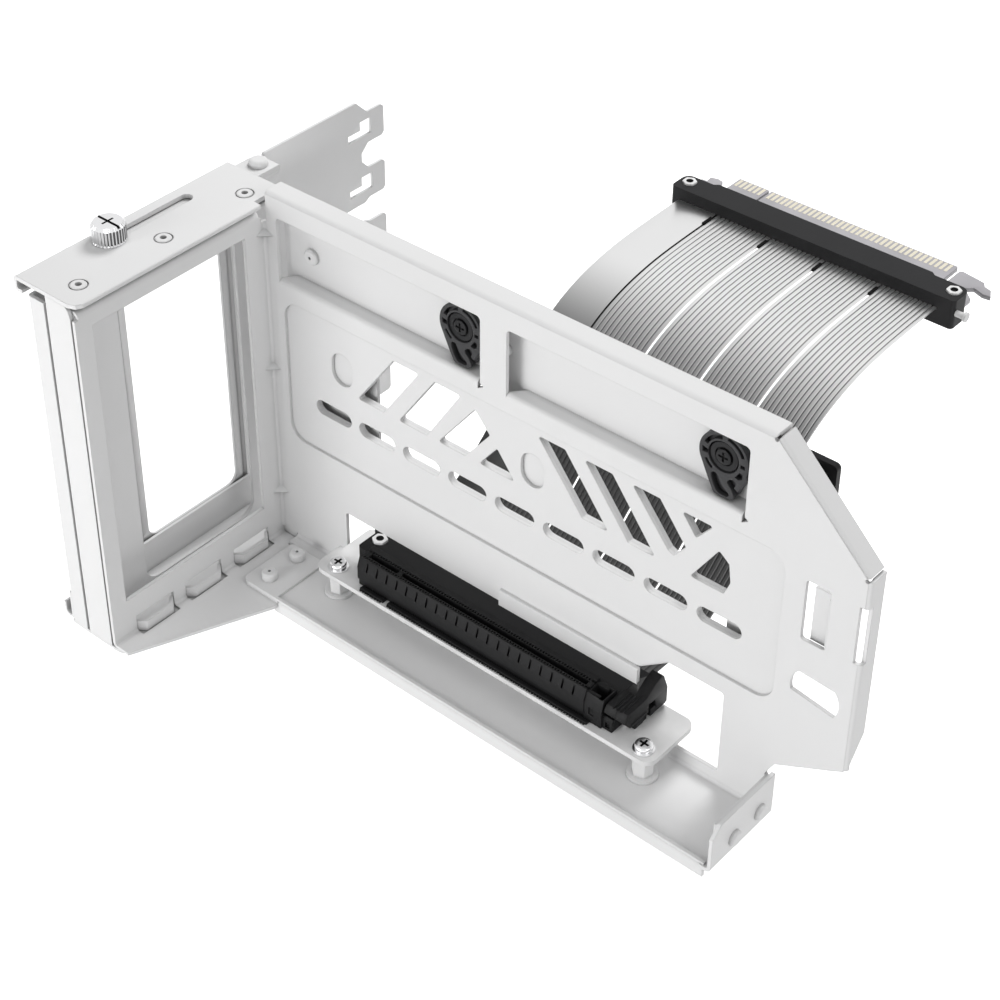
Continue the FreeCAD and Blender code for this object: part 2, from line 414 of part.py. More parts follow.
for x, name in zip(CLIP_X, ("left_clip", "right_clip")):
    tail = prism([(x - 7.5, CLIP_Z - 1.5), (x - 2.6, CLIP_Z - 12.2, 0.8), (x + 3.0, CLIP_Z - 12.5, 0.5), (x + 5.2, CLIP_Z - 10.2, 0.5),
                  (x + 7.7, CLIP_Z - 5.5, 0.5), (x + 7.7, CLIP_Z)], "y", CLIP_Y, CLIP_Y + CLIP_T)
    ring = cyl(5.0, 0.5, x, CLIP_Y - 0.45, CLIP_Z, (0, 1, 0)).cut(cyl(4.2, 2, x, CLIP_Y - 1, CLIP_Z, (0, 1, 0)))
    clip = join([cyl(7.8, CLIP_T, x, CLIP_Y, CLIP_Z, (0, 1, 0)), tail, ring])
    arcs = []
    for a in (25, 65, 105, 145):
        ca, sa = math.cos(math.radians(a)), math.sin(math.radians(a))
        cb, sb = math.cos(math.radians(a + 22)), math.sin(math.radians(a + 22))
        arcs.append(track("y", x + 6.3 * ca, CLIP_Z + 6.3 * sa, x + 6.3 * cb, CLIP_Z + 6.3 * sb, 0.55, CLIP_Y - 0.5, CLIP_Y + 1.5))
    arcs.append(track("y", x - 3.4, CLIP_Z - 7.6, x + 0.6, CLIP_Z - 11.0, 0.9, CLIP_Y - 0.5, CLIP_Y + 2.0))
    arcs.append(track("y", x + 2.2, CLIP_Z - 8.0, x + 5.0, CLIP_Z - 11.2, 0.8, CLIP_Y - 0.5, CLIP_Y + CLIP_T + 1))
    clip = clip.cut(arcs + [cyl(2.05, 8, x, 0, CLIP_Z, (0, 1, 0))])
    save(clip, name)
screws = []
for x in CLIP_X:
    head = pan_head(3.6, 1.2, x, CLIP_Y - 0.1, CLIP_Z, (0, -1, 0)).cut(cross(x, CLIP_Y - 1.3, CLIP_Z, (0, -1, 0), 3.2))
    screws.append(join([head, cyl(2.0, BACK_Y - CLIP_Y + 0.1, x, CLIP_Y - 0.1, CLIP_Z, (0, 1, 0)),
                        cyl(1.6, BACK_T, x, BACK_Y, CLIP_Z, (0, 1, 0)), cyl(2.8, 1.0, x, BACK_Y + BACK_T, CLIP_Z, (0, 1, 0))]))
save(group(screws), "clip_screws")

KEEP_Y = 28.0
keeper = prism([(150, 66, 3), (182.8, 66, 3), (182.8, 102, 1.5), (150, 102, 1.5)], "y", KEEP_Y, KEEP_Y + 2)
keeper = join([keeper] + [box(x, x + 4, BACK_Y + BACK_T, KEEP_Y + 0.5, 94, 99) for x in (152, 176)])
save(keeper, "cable_retainer")

# Rivets of the shelf

save(group([join([tapped(2.5, 2.8, 15, y, RAISE, (0, 0, 1)), cyl(1.3, 2.4 + RAISE, 15, y, -2.4)]) for y in POST_Y]), "shelf_posts")
save(group([join([pan_head(2.5, 1.4, SHELF_R, y, z, (1, 0, 0)), cyl(1.3, 2 * T, SHELF_R - 2 * T, y, z, (1, 0, 0))])
            for y, z in ((-5.2, 5.2), (-17.2, 4.9))]), "end_rivets")

# Riser board with its slot, standing on the shelf

POSTS = ((35.3, -10.7), (154.2, -10.8))
PCB_TOP = PCB_Z + PCB_T
save(group([join([cyl(4.6, 1.0, x, y, 0), hexagon(x, y, 5.6, 0.5, PCB_Z, 0.3), cyl(1.5, T, x, y, -T)]).cut(cyl(1.3, 8, x, y, 2))
            for x, y in POSTS]), "standoffs")
board = prism([(28.5, -15, 4), (159.3, -15, 3.5), (159.3, 7.3, 3.5), (36, 7.3), (36, 10, 1), (30, 10, 2), (30, -3), (28.5, -3)],
              "z", PCB_Z, PCB_TOP)
save(board.cut([cyl(1.4, 6, x, y, 6) for x, y in POSTS]), "riser_board")
save(group([join([pan_head(3.3, 2.4, x, y, PCB_TOP, (0, 0, 1)), cyl(1.3, PCB_TOP - 2.5, x, y, 2.5)]).cut(cross(x, y, PCB_TOP + 2.4, (0, 0, 1), 3.4))
            for x, y in POSTS]), "board_screws")

SLOT_TOP = 20.9
housing = join([box(45.5, 137.5, -12.8, -5.2, PCB_TOP, SLOT_TOP), box(137.5, 143.7, -11.8, -5.2, PCB_TOP, 14.5),
                box(137.5, 140.2, -11.8, -5.2, 14.0, 18.6)])
housing = housing.cut([box(47.8, 59.3, -10.1, -8.3, 12.0, 22), box(61.0, 133.3, -10.1, -8.3, 12.0, 22)]
                      + [box(49.0 + 5.3 * i, 52.4 + 5.3 * i, -13, -12.1, 12.5, 18.2) for i in range(16)])
save(housing, "slot_housing")
save(join([box(48.1, 131.6, -13.3, -12.8, PCB_TOP, 10.6)] + [box(48.1 + 2.09 * i, 49.1 + 2.09 * i, -14.2, -13.2, PCB_TOP, 10.3)
                                                            for i in range(40)]), "slot_pin_row")

latch = prism([(-7, 10.4, 0.5), (7.7, 10.4, 0.5), (7.7, 17.0), (5.6, 24.0, 0.8), (1.2, 22.6, 0.5), (-3, 19.6), (-11.0, 19.4, 1), (-12.4, 16.4, 0.5),
               (-11.4, 15.0), (-7, 15.0)], "x", 144.6, 148.6)
nose = prism([(-3.2, 15.0), (-3.2, 19.6), (-11.0, 19.4, 1), (-12.4, 16.4, 0.5), (-11.4, 15.0)], "x", 140.6, 144.7)
latch = latch.fuse(nose).cut(cyl(1.0, 30, 146.6, -15, 12.2, (0, 1, 0))).cut(box(144, 149, -3.0, 0.0, 9, 13.9))
save(latch, "slot_latch")
save(cyl(0.95, 9.5, 146.6, -6.5, 12.2, (0, 1, 0)).fuse(box(145.8, 147.4, -2.4, -0.6, PCB_TOP, 12.2)), "latch_pin")

over = prism([(38.5, -5, 1), (140.2, -5, 1), (140.2, 6.2, 2), (38.5, 6.2, 2)], "z", PCB_TOP, 16.5)
lead = prism([(5.0, PCB_TOP), (7.6, PCB_TOP), (7.6, 7.4), (12.6, 7.4), (12.6, 12.4, 1), (5.0, 16.0)], "x", 36.4, 139.5)
over = over.fuse(lead).removeSplitter()
save(over.cut(cyl(2.7, 3, 41.8, 1.6, 15.0)), "cable_overmold")
save(hexagon(41.8, 1.6, 4.6, 15.0, 17.2, 0.2), "overmold_nut")

# Flat ribbon in five strips, and the plug it ends in


def ribbon_path():
    """Straight runs joined by tangent arcs, the profile of a strip from the side."""
    pts = [V(0, y, z) for y, z in RIBBON]
    edges, last = [], pts[0]
    for i in range(1, len(pts) - 1):
        a, p, b = pts[i - 1] - pts[i], pts[i], pts[i + 1] - pts[i]
        cutback = 0.45 * min(a.Length, b.Length)
        u, w = V(a).normalize(), V(b).normalize()
        half = u.getAngle(w) / 2
        r = cutback * math.tan(half)
        s, e = p + u * cutback, p + w * cutback
        bis = (u + w).normalize()
        mid = p + bis * (r / math.sin(half) - r)
        if math.pi / 2 - half < 1e-4:
            edges.append(Part.makeLine(last, e))
        else:
            edges.append(Part.makeLine(last, s))
            edges.append(Part.Arc(s, mid, e).toShape())
        last = e
    edges.append(Part.makeLine(last, pts[-1]))
    return Part.Wire(edges)


def ribbon_strip(x0, x1):
    wire = ribbon_path()
    a, b = V(0, *RIBBON[0]), V(0, *RIBBON[1])
    run = (b - a).normalize()
    up = V(0, -run.z, run.y) * (RIBBON_T / 2)
    side = [a + up + V(x0, 0, 0), a + up + V(x1, 0, 0), a - up + V(x1, 0, 0), a - up + V(x0, 0, 0)]
    section = Part.makePolygon(side + [side[0]])
    return wire.makePipeShell([section], True, False)


for i in range(5):
    strip = ribbon_strip(STRIPS[i] + GAP / 2, STRIPS[i + 1] - GAP / 2)
    save(strip, "ribbon_%d" % (i + 1))

plug = prism([(33.5, 159, 1.5), (144, 159, 1.5), (144, 168.4, 3), (131, 168.4, 1), (129.5, 169.6, 1), (46, 169.6, 1), (44.5, 168.4, 1), (33.5, 168.4, 3)],
             "z", PLUG_Z, 70.0)
NUTS = ((37.2, 164.6), (140.3, 164.6))
save(plug.cut([cyl(2.7, 3, x, y, 68.2) for x, y in NUTS] + [box(34.0 + 0.5, 143.5, 166.5, 170, 63.59, 65.21)]), "plug_overmold")
save(group([hexagon(x, y, 4.6, 68.2, 70.6, 0.3) for x, y in NUTS]), "plug_nuts")
CARD_TOP = 65.2
card = prism([(34.6, 166.5), (143.4, 166.5), (143.4, 170.5), (146.6, 175.5), (144.4, 176.0), (138.5, 172.5), (135.5, 181.5), (133.7, 181.5), (132.2, 172),
              (130.8, 172), (130.8, 183.9), (130.3, 184.4), (58.1, 184.4), (57.7, 184.0), (57.7, 174.2), (56.9, 174.2), (56.9, 184.0), (56.5, 184.4), (45, 184.4),
              (44.6, 184.0), (44.6, 172), (41.2, 172), (41.2, 177.6, 0.5), (35.7, 177.6, 0.5), (34.6, 172)][::-1], "z", CARD_TOP - 1.6, CARD_TOP)
save(card, "plug_board")
fingers = [box(x, x + 0.7, 179.4, 183.9, CARD_TOP, CARD_TOP + 0.05) for x in [45.4 + i for i in range(11)] + [58.6 + i for i in range(71)]]
save(group(fingers), "plug_fingers")
save(join([cyl(1.1, 3.1, 144.0, 160.8, 65, (1, 0, 0)), cyl(1.7, 0.9, 147.0, 160.8, 65, (1, 0, 0))]), "plug_lug")
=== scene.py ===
import bpy
import math
from mathutils import Matrix, Vector


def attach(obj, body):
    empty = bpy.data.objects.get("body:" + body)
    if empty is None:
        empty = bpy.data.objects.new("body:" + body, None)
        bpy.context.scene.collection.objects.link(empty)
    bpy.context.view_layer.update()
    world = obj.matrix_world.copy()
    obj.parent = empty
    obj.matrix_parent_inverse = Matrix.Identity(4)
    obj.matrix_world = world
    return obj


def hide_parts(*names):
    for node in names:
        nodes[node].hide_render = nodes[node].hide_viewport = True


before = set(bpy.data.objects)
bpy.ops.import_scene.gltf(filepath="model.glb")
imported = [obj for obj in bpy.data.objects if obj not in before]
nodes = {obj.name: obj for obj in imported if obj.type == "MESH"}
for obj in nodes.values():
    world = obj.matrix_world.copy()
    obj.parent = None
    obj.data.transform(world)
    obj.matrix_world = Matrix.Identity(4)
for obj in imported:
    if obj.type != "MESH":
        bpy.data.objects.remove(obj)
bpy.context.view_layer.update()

# Modelling axes in mm: X right along the main panel, Y back, Z up, from the folded sheet's inner corner
ORIGIN = Vector((-27.0, -48.0, 61.65))


def at(x, y, z):
    """A place given in mm in the modelling axes, in metres in the frame."""
    return (Vector((x, y, z)) - ORIGIN) / 1000


def deselect():
    bpy.ops.object.select_all(action="DESELECT")


def pick(piece):
    """Selects one piece and nothing else."""
    deselect()
    piece.select_set(True)
    bpy.context.view_layer.objects.active = piece


deselect()

# Materials


def new_material(name, color, roughness, metallic=0.0):
    """A material with its main shader and the piece's own coordinates, ready for more nodes."""
    material = bpy.data.materials.new(name)
    material.use_nodes = True
    tree = material.node_tree
    shader = tree.nodes["Principled BSDF"]
    shader.inputs["Base Color"].default_value = (*color, 1)
    shader.inputs["Roughness"].default_value = roughness
    shader.inputs["Metallic"].default_value = metallic
    coords = tree.nodes.new("ShaderNodeTexCoord")
    return material, tree, shader, coords


def grain(tree, coords, scale, detail=3.0, stretch=(1, 1, 1)):
    """Noise over the piece's own coordinates."""
    mapping = tree.nodes.new("ShaderNodeMapping")
    mapping.inputs["Scale"].default_value = stretch
    noise = tree.nodes.new("ShaderNodeTexNoise")
    noise.inputs["Scale"].default_value = scale
    noise.inputs["Detail"].default_value = detail
    tree.links.new(coords.outputs["Object"], mapping.inputs["Vector"])
    tree.links.new(mapping.outputs["Vector"], noise.inputs["Vector"])
    return noise


def tint(tree, shader, noise, low, high):
    """Colour that drifts between two tones."""
    ramp = tree.nodes.new("ShaderNodeValToRGB")
    ramp.color_ramp.elements[0].position = 0.3
    ramp.color_ramp.elements[0].color = (*low, 1)
    ramp.color_ramp.elements[1].position = 0.7
    ramp.color_ramp.elements[1].color = (*high, 1)
    tree.links.new(noise.outputs["Fac"], ramp.inputs["Fac"])
    tree.links.new(ramp.outputs["Color"], shader.inputs["Base Color"])


def polish(tree, shader, noise, low, high):
    """Roughness that drifts between two values."""
    span = tree.nodes.new("ShaderNodeMapRange")
    span.inputs["To Min"].default_value = low
    span.inputs["To Max"].default_value = high
    tree.links.new(noise.outputs["Fac"], span.inputs["Value"])
    tree.links.new(span.outputs["Result"], shader.inputs["Roughness"])


def relief(tree, shader, height, strength, distance):
    """Bump from a height output."""
    bump = tree.nodes.new("ShaderNodeBump")
    bump.inputs["Strength"].default_value = strength
    bump.inputs["Distance"].default_value = distance
    tree.links.new(height, bump.inputs["Height"])
    tree.links.new(bump.outputs["Normal"], shader.inputs["Normal"])


def soft_edges(tree, shader, radius):
    """Edges that catch the light as if rounded, laid under the relief."""
    bevel = tree.nodes.new("ShaderNodeBevel")
    bevel.samples = 4
    bevel.inputs["Radius"].default_value = radius
    for link in list(tree.links):
        if link.to_socket == shader.inputs["Normal"]:
            tree.links.new(bevel.outputs["Normal"], link.from_node.inputs["Normal"])
            return
    tree.links.new(bevel.outputs["Normal"], shader.inputs["Normal"])


def shade_creases(tree, shader, reach, depth):
    """Paints shade into the colour in narrow gaps and corners."""
    creases = tree.nodes.new("ShaderNodeAmbientOcclusion")
    creases.samples = 4
    creases.inputs["Distance"].default_value = reach
    span = tree.nodes.new("ShaderNodeMapRange")
    span.inputs["From Min"].default_value = 0.05
    span.inputs["From Max"].default_value = 0.75
    span.inputs["To Min"].default_value = depth
    mix = tree.nodes.new("ShaderNodeMix")
    mix.data_type = "RGBA"
    mix.blend_type = "MULTIPLY"
    mix.inputs["Factor"].default_value = 1
    base_link = [link for link in tree.links if link.to_socket == shader.inputs["Base Color"]][0]
    tree.links.new(creases.outputs["AO"], span.inputs["Value"])
    tree.links.new(base_link.from_socket, mix.inputs["A"])
    tree.links.new(span.outputs["Result"], mix.inputs["B"])
    tree.links.new(mix.outputs["Result"], shader.inputs["Base Color"])


def powder_coat(name, tone):
    """Matt coat with a fine grain, with painted shade in its creases."""
    material, tree, shader, coords = new_material(name, (tone, tone, tone), 0.5)
    shader.inputs["Specular IOR Level"].default_value = 0.35
    drift = grain(tree, coords, 14, 2)
    tint(tree, shader, drift, (tone * 0.975,) * 3, (tone, tone, tone * 1.002))
    polish(tree, shader, drift, 0.44, 0.56)
    relief(tree, shader, grain(tree, coords, 2600, 2).outputs["Fac"], 0.18, 0.00006)
    soft_edges(tree, shader, 0.0004)
    shade_creases(tree, shader, 0.004, 0.35)
    return material


PALE_SHINE, DARK_SHINE = 0.4, 0.16


def moulded_plastic(name, color, roughness=0.5, texture=0.3):
    """Moulded or painted surface with a faint texture; dark ones shine less."""
    material, tree, shader, coords = new_material(name, color, roughness)
    shader.inputs["Specular IOR Level"].default_value = PALE_SHINE if color[0] > 0.1 else DARK_SHINE
    drift = grain(tree, coords, 60, 3)
    tint(tree, shader, drift, tuple(c * 0.85 for c in color), tuple(c * 1.15 for c in color))
    polish(tree, shader, drift, roughness - 0.07, roughness + 0.07)
    relief(tree, shader, grain(tree, coords, 3800, 3).outputs["Fac"], texture, 0.00005)
    soft_edges(tree, shader, 0.00022)
    return material


def bright_metal(name, tone, roughness):
    """Plated metal with a slightly uneven polish."""
    material, tree, shader, coords = new_material(name, (tone, tone, tone * 1.01), roughness, 1.0)
    lines = grain(tree, coords, 900, 3)
    polish(tree, shader, lines, roughness - 0.06, roughness + 0.08)
    relief(tree, shader, lines.outputs["Fac"], 0.08, 0.00003)
    return material


# Where the ribbon's route leaves its dip behind the panel and where it levels out, in mm back
DIP_END, CREST = 79, 121
# The darker foil tone is painted shade for the ribbon's dip behind the panel
FOIL_DIP_SHADE, FOIL_BRIGHT = 0.1, 0.8


def foil_with_painted_shade(name, roughness):
    """Foil with painted shade that darkens it in the ribbon's dip, and its own bright tone from the crest to the plug.
    """
    material, tree, shader, coords = new_material(name, (FOIL_BRIGHT,) * 3, roughness, 1.0)
    split = tree.nodes.new("ShaderNodeSeparateXYZ")
    span = tree.nodes.new("ShaderNodeMapRange")
    ramp = tree.nodes.new("ShaderNodeValToRGB")
    ramp.color_ramp.interpolation = "EASE"
    ramp.color_ramp.elements[0].color = (FOIL_DIP_SHADE, FOIL_DIP_SHADE, FOIL_DIP_SHADE, 1)
    ramp.color_ramp.elements[1].color = (FOIL_BRIGHT, FOIL_BRIGHT, FOIL_BRIGHT, 1)
    span.inputs["From Min"].default_value = at(0, DIP_END, 0).y
    span.inputs["From Max"].default_value = at(0, CREST, 0).y
    tree.links.new(coords.outputs["Object"], split.inputs["Vector"])
    tree.links.new(split.outputs["Y"], span.inputs["Value"])
    tree.links.new(span.outputs["Result"], ramp.inputs["Fac"])
    tree.links.new(ramp.outputs["Color"], shader.inputs["Base Color"])
    lines = grain(tree, coords, 500, 3, (30, 1, 1))
    polish(tree, shader, lines, roughness - 0.05, roughness + 0.07)
    relief(tree, shader, lines.outputs["Fac"], 0.06, 0.00002)
    return material


white_coat = powder_coat("white powder coat", 0.80)
white_nylon = moulded_plastic("white nylon", (0.80, 0.80, 0.80), 0.42, 0.15)
black_nylon = moulded_plastic("black glass-filled nylon", (0.010, 0.010, 0.0105), 0.5)
overmold_black = moulded_plastic("soft black overmold", (0.020, 0.020, 0.021), 0.55)
clip_black = moulded_plastic("black clip plastic", (0.050, 0.050, 0.052), 0.46)
bright_steel = bright_metal("bright steel", 0.80, 0.2)
black_steel = moulded_plastic("black zinc", (0.014, 0.014, 0.015), 0.38, 0.1)
solder_mask = moulded_plastic("white solder mask", (0.78, 0.78, 0.78), 0.32, 0.05)
card_mask = moulded_plastic("grey solder mask", (0.40, 0.39, 0.41), 0.35, 0.05)
smooth_foil = foil_with_painted_shade("smooth silver foil", 0.3)
ribbed_foil = foil_with_painted_shade("ribbed silver foil", 0.36)
# Painted shade: dark grey for the grooves between conductors
groove_painted_shade = moulded_plastic("painted shade in grooves between conductors", (0.06, 0.06, 0.06), 0.6)
# Painted shade: nearly black steel for the recesses in screw heads
steel_recess_shade = bright_metal("painted shade in steel recesses", 0.035, 0.45)
# Painted shade: dark grey steel for the shaded sides of the knurl and the insides of nut holes
steel_painted_shade = bright_metal("steel with painted shade", 0.13, 0.4)
# Painted shade: near-black for recesses in black parts and for dark gaps
black_painted_shade = moulded_plastic("painted shade on black parts", (0.004, 0.004, 0.004), 0.6)
gold_pads, gold_tree, gold_shader, gold_coords = new_material("pale gold plating", (0.83, 0.78, 0.64), 0.3, 0.75)
polish(gold_tree, gold_shader, grain(gold_tree, gold_coords, 1200), 0.22, 0.38)

FINISH = {
    white_coat: ("mounting_plate", "top_rail", "rail_rivet", "bracket_body", "slide_frame", "side_channel",
                 "bottom_plate", "top_plate", "top_plate_rivets", "vent_backing", "back_plate",
                 "back_plate_spacers", "back_plate_rivet", "shelf_posts", "end_rivets", "standoffs"),
    white_nylon: ("overmold_nut", "plug_nuts", "plug_lug"),
    black_nylon: ("slot_housing", "slot_pin_row", "slot_latch", "latch_pin", "cable_retainer", "cable_overmold"),
    overmold_black: ("plug_overmold",),
    clip_black: ("left_clip", "right_clip"),
    bright_steel: ("thumb_screw", "board_screws"),
    black_steel: ("clip_screws",),
    solder_mask: ("riser_board",),
    card_mask: ("plug_board",),
    gold_pads: ("plug_fingers",),
}


def paint(piece, material):
    piece.data.materials.clear()
    piece.data.materials.append(material)


for material, names in FINISH.items():
    for name in names:
        paint(nodes[name], material)

# Ways of making a piece


def block(name, x0, x1, y0, y1, z0, z1):
    """A block between two corners given in mm in the modelling axes."""
    low, high = at(x0, y0, z0), at(x1, y1, z1)
    deselect()
    bpy.ops.mesh.primitive_cube_add(size=1, location=(low + high) / 2)
    piece = bpy.context.object
    piece.name = name
    piece.scale = high - low
    bpy.ops.object.transform_apply(location=True, rotation=True, scale=True)
    return piece


def rod(name, radius, low, high, sides=48):
    """A round bar between two places given in mm."""
    a, b = at(*low), at(*high)
    deselect()
    bpy.ops.mesh.primitive_cylinder_add(vertices=sides, radius=radius / 1000, depth=(b - a).length,
                                        location=(a + b) / 2, rotation=(b - a).to_track_quat("Z", "Y").to_euler())
    piece = bpy.context.object
    piece.name = name
    bpy.ops.object.transform_apply(location=True, rotation=True, scale=True)
    return piece


def finish_with(piece, kind, **settings):
    """Gives a piece one modifier and applies it."""
    pick(piece)
    modifier = piece.modifiers.new(kind.lower(), kind)
    for key, value in settings.items():
        setattr(modifier, key, value)
    bpy.ops.object.modifier_apply(modifier=modifier.name)
    return piece


def round_edges(piece, width, segments=2):
    return finish_with(piece, "BEVEL", width=width / 1000, segments=segments, limit_method="ANGLE",
                       angle_limit=math.radians(30), use_clamp_overlap=True)


def row(piece, count, step):
    """Copies of a piece along a line, all in one mesh."""
    return finish_with(piece, "ARRAY", count=count, use_relative_offset=False, use_constant_offset=True,
                       constant_offset_displace=Vector(step) / 1000)


def carve(piece, *tools):
    """Cuts the tools out of a piece and throws them away."""
    for tool in tools:
        finish_with(piece, "BOOLEAN", operation="DIFFERENCE", solver="EXACT", object=tool)
        bpy.data.objects.remove(tool)
    return piece


def unite(name, pieces):
    """Joins pieces in one mesh."""
    deselect()
    for piece in pieces:
        piece.select_set(True)
    bpy.context.view_layer.objects.active = pieces[0]
    bpy.ops.object.join()
    pieces[0].name = name
    return pieces[0]


# How a flat outline is stood up so that its thickness runs along an axis
SIDES = {"x": Matrix(((0, 0, 1, 0), (1, 0, 0, 0), (0, 1, 0, 0), (0, 0, 0, 1))),
         "y": Matrix(((1, 0, 0, 0), (0, 0, -1, 0), (0, 1, 0, 0), (0, 0, 0, 1))),
         "z": Matrix.Identity(4)}


def cut_plate(name, loops, axis, low, high, edge=0.1):
    """A plate with the outline and holes of flat loops in mm, thick along an axis, its rims rounded."""
    data = bpy.data.curves.new(name, "CURVE")
    data.dimensions = "2D"
    data.fill_mode = "BOTH"
    data.extrude = (high - low) / 2000 - edge / 1000
    data.bevel_depth = edge / 1000
    data.bevel_resolution = 1
    data.offset = -edge / 1000
    for loop in loops:
        spline = data.splines.new("POLY")
        spline.points.add(len(loop) - 1)
        for point, (u, v) in zip(spline.points, loop):
            point.co = (u / 1000, v / 1000, 0, 1)
        spline.use_cyclic_u = True
    flat = bpy.data.objects.new(name, data)
    bpy.context.scene.collection.objects.link(flat)
    pick(flat)
    bpy.ops.object.convert(target="MESH")
    piece = bpy.context.view_layer.objects.active
    middle = (low + high) / 2
    shift = {"x": (middle, 0, 0), "y": (0, middle, 0), "z": (0, 0, middle)}[axis]
    piece.data.transform(Matrix.Translation(at(*shift)) @ SIDES[axis])
    bpy.ops.object.mode_set(mode="EDIT")
    bpy.ops.mesh.select_all(action="SELECT")
    bpy.ops.mesh.remove_doubles(threshold=0.00001)
    bpy.ops.mesh.normals_make_consistent(inside=False)
    bpy.ops.object.mode_set(mode="OBJECT")
    return piece


def arc(u, v, radius, start, stop, steps):
    """Points of an arc round a centre, in degrees."""
    turn = [math.radians(start + (stop - start) * i / steps) for i in range(steps + 1)]
    return [(u + radius * math.cos(a), v + radius * math.sin(a)) for a in turn]


def bow(u, v, radius, start, stop, width):
    """Outline of a curved slot round a centre."""
    return arc(u, v, radius + width / 2, start, stop, 10) + arc(u, v, radius - width / 2, stop, start, 10)


def circle(u, v, radius, sides):
    """Points of a full circle round a centre."""
    return arc(u, v, radius, 0, 360, sides)[:-1]


def place(loop, u, v):
    """An outline moved to its place."""
    return [(u + a, v + b) for a, b in loop]


def paint_faces_in_shade(piece, material, chosen):
    """Gives the faces whose middles, in mm in the modelling axes, are chosen another material, used for painted shade.
    """
    piece.data.materials.append(material)
    index = len(piece.data.materials) - 1
    for face in piece.data.polygons:
        if chosen(face.center * 1000 + ORIGIN, face):
            face.material_index = index


def finish_piece(piece, material, body, *stands_for, angle=35):
    """Smooths and paints a piece, lets it ride on its body and take the place of CAD nodes."""
    pick(piece)
    bpy.ops.object.shade_smooth_by_angle(angle=math.radians(angle))
    paint(piece, material)
    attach(piece, body)
    if stands_for:
        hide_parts(*stands_for)


# Clips: a faced plate with moulded pockets over a plain back, on a wide screw

CLIP_X = {"left": 75.2, "right": 164.5}
CLIP_Z = 111.6
CLIP_FACE, CLIP_MID, CLIP_BACK = 1.7, 3.5, 5.1
HEAD_R, GROOVE_R, DISC_R = 2.35, 2.75, 4.35
clip_round = arc(0.1, 0, 7.7, -20, 201, 40)
clip_edge = clip_round + [
    (-4.1, -9.1), (-2.4, -12.4), (-2.0, -12.6), (2.8, -12.6), (3.4, -12.3), (4.1, -11.4), (4.0, -10.6),
    (3.1, -8.9), (1.9, -7.8), (1.7, -7.0), (2.3, -6.2), (3.4, -5.7), (4.3, -6.2), (4.3, -7.1), (3.9, -8.1),
    (5.1, -8.9), (6.5, -6.3), (7.8, -3.9)]
clip_plain = clip_round + [
    (-4.1, -9.1), (-2.4, -12.4), (-2.0, -12.6), (2.8, -12.6), (4.2, -11.2), (5.1, -8.9), (6.5, -6.3), (7.8, -3.9)]
clip_pockets = [
    [(-3.4, -6.9), (-3.2, -6.3), (-2.7, -6.0), (-1.9, -6.0), (-1.4, -6.4), (-1.0, -7.1), (-0.1, -8.7), (1.2, -9.9),
     (2.3, -10.7), (2.5, -11.3), (2.1, -11.9), (1.4, -12.1), (-0.6, -12.0), (-1.4, -11.5), (-2.4, -9.9), (-3.2, -8.0)],
    bow(0.1, 0, 6.0, 98, 160, 1.1), bow(0.1, 0, 6.3, 22, 82, 0.9), bow(0.1, 0, 6.0, 207, 236, 0.8),
    [(-6.6, 0.7), (-4.9, 0.2), (-4.9, -1.0), (-6.5, -1.1)], [(5.4, 0.2), (6.6, 0.1), (6.7, -0.9), (5.3, -0.9)],
    [(3.9, -4.6), (5.2, -2.5), (6.2, -2.6), (6.1, -4.3), (5.0, -4.9)],
    circle(0, 0, 4.75, 47),
]
for side, x in CLIP_X.items():
    face = cut_plate(side + "_clip_face", [place(loop, x, CLIP_Z) for loop in [clip_edge] + clip_pockets], "y",
                     CLIP_FACE, CLIP_MID, 0.12)
    back = cut_plate(side + "_clip_back", [place(loop, x, CLIP_Z) for loop in (clip_plain, circle(0, 0, 2.3, 31))],
                     "y", CLIP_MID, CLIP_BACK, 0.05)
    finish_piece(unite(side + "_clip_moulding", [face, back]), clip_black, "clip_" + side, side + "_clip")

pivots = []
for x in CLIP_X.values():
    disc = rod("clip_screw", DISC_R, (x, 3.4, CLIP_Z), (x, 2.05, CLIP_Z), 64)
    head = rod("clip_screw_head", HEAD_R, (x, 2.4, CLIP_Z), (x, 1.65, CLIP_Z))
    carve(disc, rod("groove", GROOVE_R, (x, 2.7, CLIP_Z), (x, 1.5, CLIP_Z)))
    round_edges(disc, 0.15)
    round_edges(head, 0.2)
    carve(head, block("cross_a", x - 1.5, x + 1.5, 1.0, 2.1, CLIP_Z - 0.33, CLIP_Z + 0.33),
          block("cross_b", x - 0.33, x + 0.33, 1.0, 2.1, CLIP_Z - 1.5, CLIP_Z + 1.5))
    shank = rod("clip_screw_shank", 2.0, (x, 6.4, CLIP_Z), (x, 2.3, CLIP_Z), 32)
    nut = rod("clip_screw_nut", 2.8, (x, 7.5, CLIP_Z), (x, 6.5, CLIP_Z), 6)
    pivots += [disc, head, shank, nut]
screws = unite("clip_pivot_screws", pivots)
finish_piece(screws, black_steel, "carrier", "clip_screws")


def in_clip_recess(middle, face):
    """The cross in a screw's head, or the groove round the head."""
    away = min(math.hypot(middle.x - x, middle.z - CLIP_Z) for x in CLIP_X.values())
    in_cross = 1.75 < middle.y < 2.35 and away < 1.6
    return in_cross or HEAD_R + 0.01 < away < GROOVE_R - 0.01 and middle.y < 2.8


# The cross and the groove round each screw head are painted black as shade
paint_faces_in_shade(screws, black_painted_shade, in_clip_recess)

# Slot for the graphics card: sloped front with slits, two combs along the gap, and the tower that holds the latch

